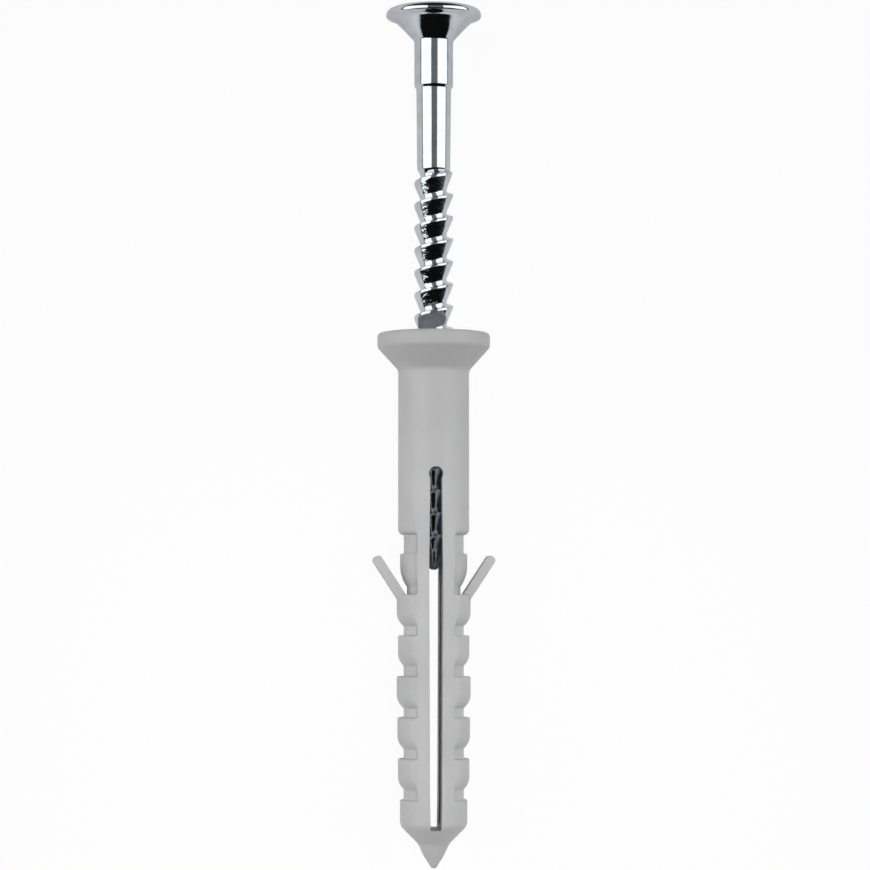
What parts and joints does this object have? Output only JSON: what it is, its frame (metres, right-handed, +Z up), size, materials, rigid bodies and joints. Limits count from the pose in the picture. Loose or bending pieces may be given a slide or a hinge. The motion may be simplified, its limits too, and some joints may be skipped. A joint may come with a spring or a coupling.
{
  "type": "hammer fixing plug",
  "caption": "Countersunk hammer fixing: a slotted, toothed nylon plug with fins and a pointed nose, holding a part-driven zinc-plated nail-screw with a barbed thread.",
  "frame": {"origin": "on the floor under the middle of the fixing as it lies on its collar and its nail head", "axes": "+Y towards the nail's head, +X to a fin's side, +Z up, out of the slot"},
  "size_m": [0.0136, 0.097, 0.0127],
  "materials": {
    "moulded_nylon": "light grey moulded nylon, satin",
    "zinc_plated_steel": "bright zinc-plated steel"
  },
  "bodies": {
    "root": {"plug_sleeve": "moulded_nylon", "nail_screw": "zinc_plated_steel"}
  },
  "joints": []
}
